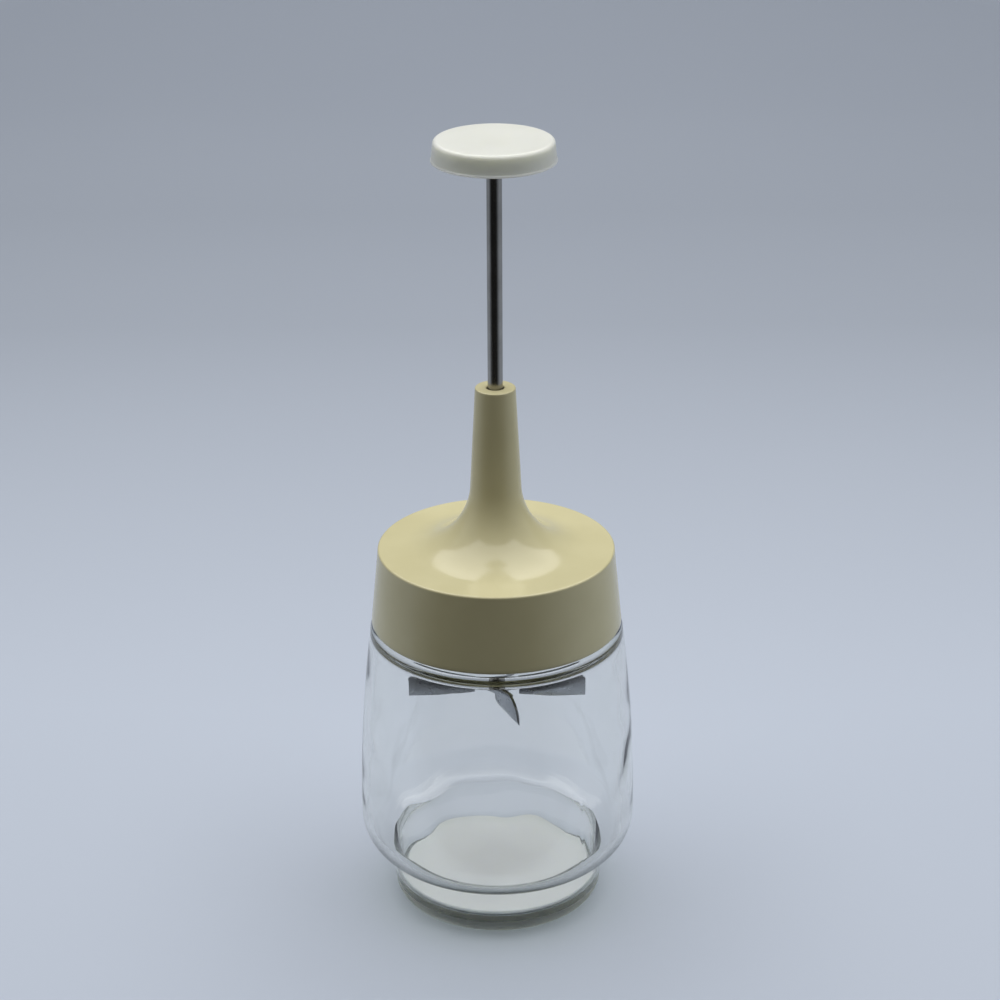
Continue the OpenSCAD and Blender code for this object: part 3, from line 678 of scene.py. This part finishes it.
def heel_shade_mask(tree, place, part):
    """1 on the outside of the heel where it is seen edge-on, and 0 elsewhere: where the glass gets painted
    shade.
    """
    x, y = place
    flat = node(tree, "ShaderNodeCombineXYZ", (x, y))
    radius = node(tree, "ShaderNodeVectorMath", (x + 150, y), operation="LENGTH")
    out = node(tree, "ShaderNodeMath", (x + 300, y), operation="SUBTRACT")
    up = node(tree, "ShaderNodeMath", (x + 300, y - 150), operation="SUBTRACT")
    offset = node(tree, "ShaderNodeCombineXYZ", (x + 450, y))
    distance = node(tree, "ShaderNodeVectorMath", (x + 600, y), operation="LENGTH")
    out.inputs[1].default_value = (BELLY_R - HEEL_R) * MM
    up.inputs[1].default_value = BELLY_Z * MM
    tree.links.new(part.outputs["X"], flat.inputs["X"])
    tree.links.new(part.outputs["Y"], flat.inputs["Y"])
    tree.links.new(flat.outputs["Vector"], radius.inputs[0])
    tree.links.new(radius.outputs["Value"], out.inputs[0])
    tree.links.new(part.outputs["Z"], up.inputs[0])
    tree.links.new(out.outputs[0], offset.inputs["X"])
    tree.links.new(up.outputs[0], offset.inputs["Y"])
    tree.links.new(offset.outputs["Vector"], distance.inputs[0])
    angle = node(tree, "ShaderNodeLayerWeight", (x + 600, y - 450))
    angle.inputs["Blend"].default_value = 0.5
    side = node(tree, "ShaderNodeNewGeometry", (x + 600, y - 600))
    masks = [
        spread(tree, (x + 750, y), distance.outputs["Value"], 0.0, 1.0, *HEEL_SKIN),
        spread(tree, (x + 750, y - 150), part.outputs["Z"], 0.0, 1.0, *HEEL_LOW_Z),
        spread(tree, (x + 750, y - 300), part.outputs["Z"], 1.0, 0.0, *HEEL_HIGH_Z),
        spread(tree, (x + 750, y - 450), angle.outputs["Facing"], 0.0, 1.0, *HEEL_EDGE_ON),
        spread(tree, (x + 750, y - 600), side.outputs["Backfacing"], 1.0, 0.0)]
    share = masks[0]
    for i, mask in enumerate(masks[1:]):
        both = node(tree, "ShaderNodeMath", (x + 900 + 150 * i, y), operation="MULTIPLY")
        tree.links.new(share, both.inputs[0])
        tree.links.new(mask, both.inputs[1])
        share = both.outputs[0]
    return share


def clear_glass():
    """Clear glass, a little scuffed and rubbed dull at the foot, with painted shade along its heel and a
    soft tint in its shadow.
    """
    material, tree, shader, out = new_finish("clear_glass")
    skin = place_group(tree, MOULDED_SKIN, (-500, 0), Mottle_Scale=70.0, Scuff_Scale=220.0)
    shader.inputs["Transmission Weight"].default_value = 1.0
    shader.inputs["IOR"].default_value = GLASS_IOR
    where = node(tree, "ShaderNodeTexCoord", (-900, -300))
    part = node(tree, "ShaderNodeSeparateXYZ", (-700, -300))
    tree.links.new(where.outputs["Object"], part.inputs["Vector"])
    clean = ramp(tree, (-150, 200), skin.outputs["Mottle"], GLASS_CLEAN, WHITE_LIGHT)
    # Painted shade: the glass colour turns grey along the outside of the heel
    thick = ramp(tree, (-150, 350), heel_shade_mask(tree, (-700, 600), part), WHITE_LIGHT, HEEL_PAINTED_SHADE)
    colour = node(tree, "ShaderNodeVectorMath", (100, 250), operation="MULTIPLY")
    tree.links.new(clean, colour.inputs[0])
    tree.links.new(thick, colour.inputs[1])
    tree.links.new(colour.outputs["Vector"], shader.inputs["Base Color"])
    rough = node(tree, "ShaderNodeMath", (100, -150), operation="ADD")
    scuffs = spread(tree, (-150, -100), skin.outputs["Scuff"], 0.0, GLASS_SCUFF)
    rubbed = spread(tree, (-150, -350), part.outputs["Z"], FOOT_RUB, 0.0, *FOOT_RUB_Z)
    tree.links.new(scuffs, rough.inputs[0])
    tree.links.new(rubbed, rough.inputs[1])
    tree.links.new(rough.outputs[0], shader.inputs["Roughness"])
    clear = node(tree, "ShaderNodeBsdfTransparent", (600, -250))
    angle = node(tree, "ShaderNodeLayerWeight", (0, -550), Blend=0.5)
    grazing = spread(tree, (200, -550), angle.outputs["Facing"], 0.0, 1.0, *GRAZING)
    shadow = ramp(tree, (400, -550), grazing, GLASS_SHADOW, GLASS_EDGE_SHADOW)
    tree.links.new(shadow, clear.inputs["Color"])
    path = node(tree, "ShaderNodeLightPath", (600, 350))
    pair = node(tree, "ShaderNodeMixShader", (800, 100))
    tree.links.new(path.outputs["Is Shadow Ray"], pair.inputs[0])
    tree.links.new(shader.outputs["BSDF"], pair.inputs[1])
    tree.links.new(clear.outputs["BSDF"], pair.inputs[2])
    tree.links.new(pair.outputs["Shader"], out.inputs["Surface"])
    tint = node(tree, "ShaderNodeVolumeAbsorption", (600, -450))
    tint.inputs["Color"].default_value = (*GLASS_TINT, 1)
    tint.inputs["Density"].default_value = GLASS_DENSITY
    tree.links.new(tint.outputs["Volume"], out.inputs["Volume"])
    return material


STAIN_EDGE, STAIN_FEW, STAIN_BROWN = (0.05, 0.13), 0.86, (0.30, 0.22, 0.12)
DISC_DARK, DISC_LIGHT, DISC_GLOSS = (0.54, 0.557, 0.585), (0.70, 0.727, 0.76), (0.38, 0.6)
DISC_PALE_R, DISC_PALE, DISC_MOTTLE = (8 * MM, 30 * MM), 0.6, 0.4
CUT_RANGE, CUT_STRENGTH, CUT_DEPTH, DISC_GLOW = (0.92, 1.0), 0.15, 0.06 * MM, 3.0


def disc_finish():
    """White plastic, paler to its rim, with a few small food stains and the fine cuts that blades leave."""
    material, tree, shader, _ = new_finish("white_disc")
    skin = place_group(tree, MOULDED_SKIN, (-700, 0), Mottle_Scale=60.0, Scuff_Scale=260.0)
    where = node(tree, "ShaderNodeTexCoord", (-1100, -400))
    cells = node(tree, "ShaderNodeTexVoronoi", (-900, -300), Scale=85.0)
    tree.links.new(where.outputs["Object"], cells.inputs["Vector"])
    spot = spread(tree, (-650, -300), cells.outputs["Distance"], 1, 0, *STAIN_EDGE)
    few = node(tree, "ShaderNodeMath", (-650, -520), operation="GREATER_THAN")
    few.inputs[1].default_value = STAIN_FEW
    tree.links.new(cells.outputs["Color"], few.inputs[0])
    stains = node(tree, "ShaderNodeMath", (-420, -400), operation="MULTIPLY")
    tree.links.new(spot, stains.inputs[0])
    tree.links.new(few.outputs[0], stains.inputs[1])
    flat = node(tree, "ShaderNodeVectorMath", (-900, 500), operation="MULTIPLY")
    flat.inputs[1].default_value = (1, 1, 0)
    radius = node(tree, "ShaderNodeVectorMath", (-700, 500), operation="LENGTH")
    tree.links.new(where.outputs["Object"], flat.inputs[0])
    tree.links.new(flat.outputs["Vector"], radius.inputs[0])
    pale = spread(tree, (-500, 500), radius.outputs["Value"], 0.0, DISC_PALE, *DISC_PALE_R)
    clean = node(tree, "ShaderNodeMath", (-400, 380), operation="MULTIPLY_ADD")
    clean.inputs[1].default_value = DISC_MOTTLE
    tree.links.new(skin.outputs["Mottle"], clean.inputs[0])
    tree.links.new(pale, clean.inputs[2])
    white = ramp(tree, (-350, 250), clean.outputs[0], DISC_DARK, DISC_LIGHT)
    stained = node(tree, "ShaderNodeMix", (0, 200), data_type="RGBA")
    stained.inputs["B"].default_value = (*STAIN_BROWN, 1)
    tree.links.new(stains.outputs[0], stained.inputs["Factor"])
    tree.links.new(white, stained.inputs["A"])
    tree.links.new(stained.outputs["Result"], shader.inputs["Base Color"])
    roughness = spread(tree, (-150, -100), skin.outputs["Scuff"], *DISC_GLOSS)
    tree.links.new(roughness, shader.inputs["Roughness"])
    cuts = node(tree, "ShaderNodeTexWave", (-420, -650), wave_type="BANDS",
                Scale=120.0, Distortion=14.0, Detail=3.0)
    tree.links.new(where.outputs["Object"], cuts.inputs["Vector"])
    fine = spread(tree, (-150, -650), cuts.outputs["Fac"], 0, 1, *CUT_RANGE)
    bump(tree, (250, -400), fine, shader, CUT_STRENGTH, CUT_DEPTH)
    let_light_in(shader, DISC_GLOW)
    return material


# The darkest and lightest colour of each, its roughness where it is glossiest and dullest
IVORY = plastic("ivory_plastic", (0.635, 0.585, 0.345), (0.69, 0.64, 0.39), 0.14, 0.21)
WHITE = plastic("white_plastic", (0.72, 0.73, 0.66), (0.765, 0.775, 0.705), 0.28, 0.29, depth=5.0)
ROD_STEEL = steel("bright_steel", (0.30, 0.29, 0.268), (0.39, 0.38, 0.352), 0.17, 0.29,
                  lines=(2500.0, 2500.0, 25.0))
BLADE_STEEL = steel("blade_steel", (0.36, 0.375, 0.40), (0.47, 0.485, 0.51), 0.24, 0.40,
                    lines=(900.0, 900.0, 900.0))
WIRE_STEEL = steel("spring_steel", (0.34, 0.34, 0.35), (0.46, 0.46, 0.47), 0.22, 0.4,
                   lines=(1500.0, 1500.0, 1500.0))
PLAIN_STEEL = steel("plain_steel", (0.46, 0.47, 0.48), (0.58, 0.59, 0.60), 0.25, 0.42,
                    lines=(1800.0, 200.0, 1800.0))
GLASS_CLEAR = clear_glass()
DISC_WHITE = disc_finish()


def fit(piece, body, replaced, material):
    piece.data.materials.clear()
    piece.data.materials.append(material)
    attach(piece, body)
    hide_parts(replaced)


fit(jar, "jar", "glass_jar", GLASS_CLEAR)
fit(disc, "jar", "chopping_disc", DISC_WHITE)
fit(guard, "guard", "splash_guard", IVORY)
fit(lid, "lid", "screw_lid", IVORY)
fit(coil, "lid", "return_spring", WIRE_STEEL)
fit(spring_washer, "spring_top", "spring_washer", PLAIN_STEEL)
fit(rod, "plunger", "plunger_rod", ROD_STEEL)
fit(knob, "plunger", "knob", WHITE)
fit(clip, "plunger", "retaining_ring", WIRE_STEEL)
fit(long_blade, "plunger", "long_blade", BLADE_STEEL)
fit(cross_blade, "plunger", "cross_blade", BLADE_STEEL)
fit(blade_washer, "plunger", "blade_washer", PLAIN_STEEL)
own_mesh(coil)


# Stage. Places and sizes are in metres, angles in radians, the lens and sensor in millimetres.

FLOOR_FRONT, FLOOR_BACK, FLOOR_WIDE, WALL_H, SWEEP_R = -5.0, 2.2, 9, 2.5, 1.2
FLOOR_PAINT = ((0.485, 0.537, 0.63), (0.505, 0.557, 0.65))
# Painted shade on the floor farther back, then painted light farther still that makes up for the lamp's
# falloff
FAR_SHADE, FAR_SHADE_Y = 0.73, (0.12, 0.55)
FAR_PAINTED_LIGHT, FAR_PAINTED_LIGHT_Y = 1.4, (0.75, 1.35)
# Painted shade: nearer the camera than this line the floor is dark straight in front of the object, though
# the camera itself sees it pale
DARK_FRONT_Y = (-0.095, -0.075)
FRONT_LEFT, FRONT_RIGHT = (0.88, 1.57), (0.52, 1.27)
HAZE, SIDE_HAZE = (1.4, 1.9), 1.9
BACKDROP = (0.42, 0.46, 0.52)
ROOM_DARK = (0.008, 0.008, 0.009)
ROOM_LIGHT = (0.40, 0.42, 0.45)
LAMP_PLACE, LAMP_TARGET, LAMP_SIZE = (0.0, 0.25, 1.05), (0, 0.15, 0), (1.6, 1.5)
LAMP_POWER, LAMP_COLOUR = 16.0, (1.0, 0.985, 0.96)
CAMERA_PLACE, CAMERA_LENS, CAMERA_SENSOR, CAMERA_NEAR = (0.0013, -0.7386, 0.4683), 91.55, 36.0, 0.01
CAMERA_TILT, CAMERA_ROLL = math.radians(66.085), math.radians(-0.28)


def make_floor():
    """A pale floor that sweeps up behind. In front of the object it carries painted shade, dark only to a
    gloss and to bounced light.
    """
    back_edge = FLOOR_BACK - 0.1
    clear_selection()
    bpy.ops.mesh.primitive_plane_add(size=1, location=(0, 0, 0))
    floor = bpy.context.object
    floor.name = "table_top"
    bpy.ops.object.mode_set(mode="EDIT")
    bpy.ops.mesh.select_all(action="SELECT")
    bpy.ops.transform.resize(value=(FLOOR_WIDE, FLOOR_BACK - FLOOR_FRONT, 1))
    bpy.ops.transform.translate(value=(0, (FLOOR_BACK + FLOOR_FRONT) / 2, 0))
    bpy.ops.object.mode_set(mode="OBJECT")
    for face in floor.data.polygons:
        face.select = False
    for edge in floor.data.edges:
        edge.select = all(floor.data.vertices[v].co.y > back_edge for v in edge.vertices)
    for v in floor.data.vertices:
        v.select = v.co.y > back_edge
    bpy.ops.object.mode_set(mode="EDIT")
    bpy.ops.mesh.extrude_region_move(TRANSFORM_OT_translate={"value": (0, 0, WALL_H)})
    bpy.ops.object.mode_set(mode="OBJECT")
    apply_modifier(floor, "BEVEL", width=SWEEP_R, segments=24, limit_method="ANGLE",
                   angle_limit=math.radians(30))
    smooth(floor, 60)
    floor.data.materials.clear()
    floor.data.materials.append(floor_finish())


def floor_finish():
    material, tree, shader, out = new_finish("table_paint")
    where = node(tree, "ShaderNodeTexCoord", (-900, 0))
    part = node(tree, "ShaderNodeSeparateXYZ", (-700, -250))
    cloud = node(tree, "ShaderNodeTexNoise", (-700, 150), Scale=3.0, Detail=2.0)
    tree.links.new(where.outputs["Object"], cloud.inputs["Vector"])
    tree.links.new(where.outputs["Object"], part.inputs["Vector"])
    paint = ramp(tree, (-400, 150), cloud.outputs["Fac"], *FLOOR_PAINT)
    # Painted shade and painted light: the paint darkens farther back, then brightens again far back where
    # the lamp's light falls off
    lift = node(tree, "ShaderNodeMath", (-250, -50), operation="MULTIPLY")
    shade = spread(tree, (-400, -50), part.outputs["Y"], 1.0, FAR_SHADE, *FAR_SHADE_Y)
    tree.links.new(shade, lift.inputs[0])
    far_painted_light = spread(tree, (-400, -130), part.outputs["Y"], 1.0, FAR_PAINTED_LIGHT, *FAR_PAINTED_LIGHT_Y)
    tree.links.new(far_painted_light, lift.inputs[1])
    shaded = node(tree, "ShaderNodeVectorMath", (-150, 150), operation="SCALE")
    tree.links.new(paint, shaded.inputs[0])
    tree.links.new(lift.outputs[0], shaded.inputs["Scale"])
    # Painted shade: straight in front of the object the floor turns room-dark, except where the camera sees
    # it plainly
    behind = spread(tree, (-400, -250), part.outputs["Y"], 0.0, 1.0, *DARK_FRONT_Y)
    aside = node(tree, "ShaderNodeMath", (-250, -300), operation="MAXIMUM")
    tree.links.new(behind, aside.inputs[0])
    tree.links.new(beside_front(tree, (-1000, -800), part), aside.inputs[1])
    shown = node(tree, "ShaderNodeMath", (-100, -250), operation="MAXIMUM")
    tree.links.new(aside.outputs[0], shown.inputs[0])
    plain = seen_plainly(tree, (-700, -500))
    tree.links.new(plain, shown.inputs[1])
    colour = node(tree, "ShaderNodeMix", (200, 100), data_type="RGBA")
    colour.inputs["A"].default_value = (*ROOM_DARK, 1)
    tree.links.new(shown.outputs[0], colour.inputs["Factor"])
    tree.links.new(shaded.outputs[0], colour.inputs["B"])
    tree.links.new(colour.outputs["Result"], shader.inputs["Base Color"])
    shader.inputs["Roughness"].default_value = 0.7
    fade_far(tree, part, plain, shader, out)
    material.cycles.emission_sampling = "NONE"
    return material


def fade_far(tree, part, plain, shader, out):
    """Lets the far floor pass into the backdrop, sooner at the sides and in front than at the back."""
    near = node(tree, "ShaderNodeMath", (-100, -450), operation="MULTIPLY")
    depth = node(tree, "ShaderNodeMath", (50, -450), operation="MAXIMUM")
    aside = node(tree, "ShaderNodeMath", (50, -300), operation="MULTIPLY")
    spot = node(tree, "ShaderNodeCombineXYZ", (200, -450))
    distance = node(tree, "ShaderNodeVectorMath", (200, -300), operation="LENGTH")
    near.inputs[1].default_value = -SIDE_HAZE
    aside.inputs[1].default_value = SIDE_HAZE
    tree.links.new(part.outputs["Y"], near.inputs[0])
    tree.links.new(part.outputs["Y"], depth.inputs[0])
    tree.links.new(near.outputs[0], depth.inputs[1])
    tree.links.new(part.outputs["X"], aside.inputs[0])
    tree.links.new(aside.outputs[0], spot.inputs["X"])
    tree.links.new(depth.outputs[0], spot.inputs["Y"])
    tree.links.new(part.outputs["Z"], spot.inputs["Z"])
    share = node(tree, "ShaderNodeMath", (600, -300), operation="MULTIPLY")
    haze = node(tree, "ShaderNodeEmission", (600, -100))
    pair = node(tree, "ShaderNodeMixShader", (800, 100))
    haze.inputs["Color"].default_value = (*BACKDROP, 1)
    tree.links.new(spot.outputs["Vector"], distance.inputs[0])
    tree.links.new(spread(tree, (400, -300), distance.outputs["Value"], 0.0, 1.0, *HAZE), share.inputs[0])
    tree.links.new(plain, share.inputs[1])
    tree.links.new(share.outputs[0], pair.inputs[0])
    tree.links.new(shader.outputs["BSDF"], pair.inputs[1])
    tree.links.new(haze.outputs["Emission"], pair.inputs[2])
    tree.links.new(pair.outputs["Shader"], out.inputs["Surface"])


def beside_front(tree, place, part):
    """0 straight in front of the object, 1 far round to its sides. The right side clears sooner."""
    turn = node(tree, "ShaderNodeMath", place, operation="ARCTAN2")
    away = node(tree, "ShaderNodeMath", (place[0] + 200, place[1]), operation="MULTIPLY")
    away.inputs[1].default_value = -1.0
    tree.links.new(part.outputs["Y"], away.inputs[0])
    tree.links.new(part.outputs["X"], turn.inputs[0])
    tree.links.new(away.outputs[0], turn.inputs[1])
    first, last = FRONT_LEFT
    left = spread(tree, (place[0] + 400, place[1]), turn.outputs[0], 1.0, 0.0, -last, -first)
    right = spread(tree, (place[0] + 400, place[1] - 250), turn.outputs[0], 0.0, 1.0, *FRONT_RIGHT)
    both = node(tree, "ShaderNodeMath", (place[0] + 700, place[1]), operation="MAXIMUM")
    tree.links.new(left, both.inputs[0])
    tree.links.new(right, both.inputs[1])
    return both.outputs[0]


def seen_plainly(tree, place):
    """1 for what the camera sees itself or straight through the glass, 0 for what a gloss shows."""
    path = node(tree, "ShaderNodeLightPath", place)
    direct = node(tree, "ShaderNodeMath", (place[0] + 200, place[1]), operation="LESS_THAN")
    direct.inputs[1].default_value = 0.5
    through = node(tree, "ShaderNodeMath", (place[0] + 400, place[1]), operation="MULTIPLY")
    both = node(tree, "ShaderNodeMath", (place[0] + 600, place[1]), operation="MAXIMUM")
    tree.links.new(path.outputs["Glossy Depth"], direct.inputs[0])
    tree.links.new(path.outputs["Is Transmission Ray"], through.inputs[0])
    tree.links.new(direct.outputs[0], through.inputs[1])
    tree.links.new(path.outputs["Is Camera Ray"], both.inputs[0])
    tree.links.new(through.outputs[0], both.inputs[1])
    return both.outputs[0]


def make_lamp():
    """One wide soft lamp over the object and a little behind it."""
    light = bpy.data.lights.new("top_softbox", "AREA")
    light.shape = "RECTANGLE"
    light.size, light.size_y = LAMP_SIZE
    light.energy = LAMP_POWER
    light.color = LAMP_COLOUR
    lamp = bpy.data.objects.new("top_softbox", light)
    bpy.context.scene.collection.objects.link(lamp)
    lamp.location = LAMP_PLACE
    aim = [t - p for t, p in zip(LAMP_TARGET, LAMP_PLACE)]
    lamp.rotation_euler = Vector(aim).to_track_quat("-Z", "Y").to_euler()


def make_room():
    """Soft room light: paler from the sides and the back, dim from the front where the camera stands."""
    world = bpy.data.worlds.new("room")
    bpy.context.scene.world = world
    world.use_nodes = True
    tree = world.node_tree
    sky = tree.nodes["Background"]
    where = node(tree, "ShaderNodeTexCoord", (-900, 0))
    part = node(tree, "ShaderNodeSeparateXYZ", (-700, 0))
    tree.links.new(where.outputs["Generated"], part.inputs["Vector"])
    light = ramp(tree, (-200, 0), beside_front(tree, (-1000, 300), part), ROOM_DARK, ROOM_LIGHT)
    shown = node(tree, "ShaderNodeMix", (0, 0), data_type="RGBA")
    shown.inputs["B"].default_value = (*BACKDROP, 1)
    tree.links.new(seen_plainly(tree, (-900, -400)), shown.inputs["Factor"])
    tree.links.new(light, shown.inputs["A"])
    tree.links.new(shown.outputs["Result"], sky.inputs["Color"])
    sky.inputs["Strength"].default_value = 1.0


def make_camera():
    camera_data = bpy.data.cameras.new("camera")
    camera_data.sensor_width = CAMERA_SENSOR
    camera_data.lens = CAMERA_LENS
    camera_data.clip_start = CAMERA_NEAR
    camera = bpy.data.objects.new("camera", camera_data)
    bpy.context.scene.collection.objects.link(camera)
    camera.location = CAMERA_PLACE
    turn = Matrix.Rotation(CAMERA_TILT, 3, "X") @ Matrix.Rotation(CAMERA_ROLL, 3, "Z")
    camera.rotation_euler = turn.to_euler()
    bpy.context.scene.camera = camera


make_floor()
make_lamp()
make_room()
make_camera()
bpy.context.scene.view_settings.view_transform = "Standard"
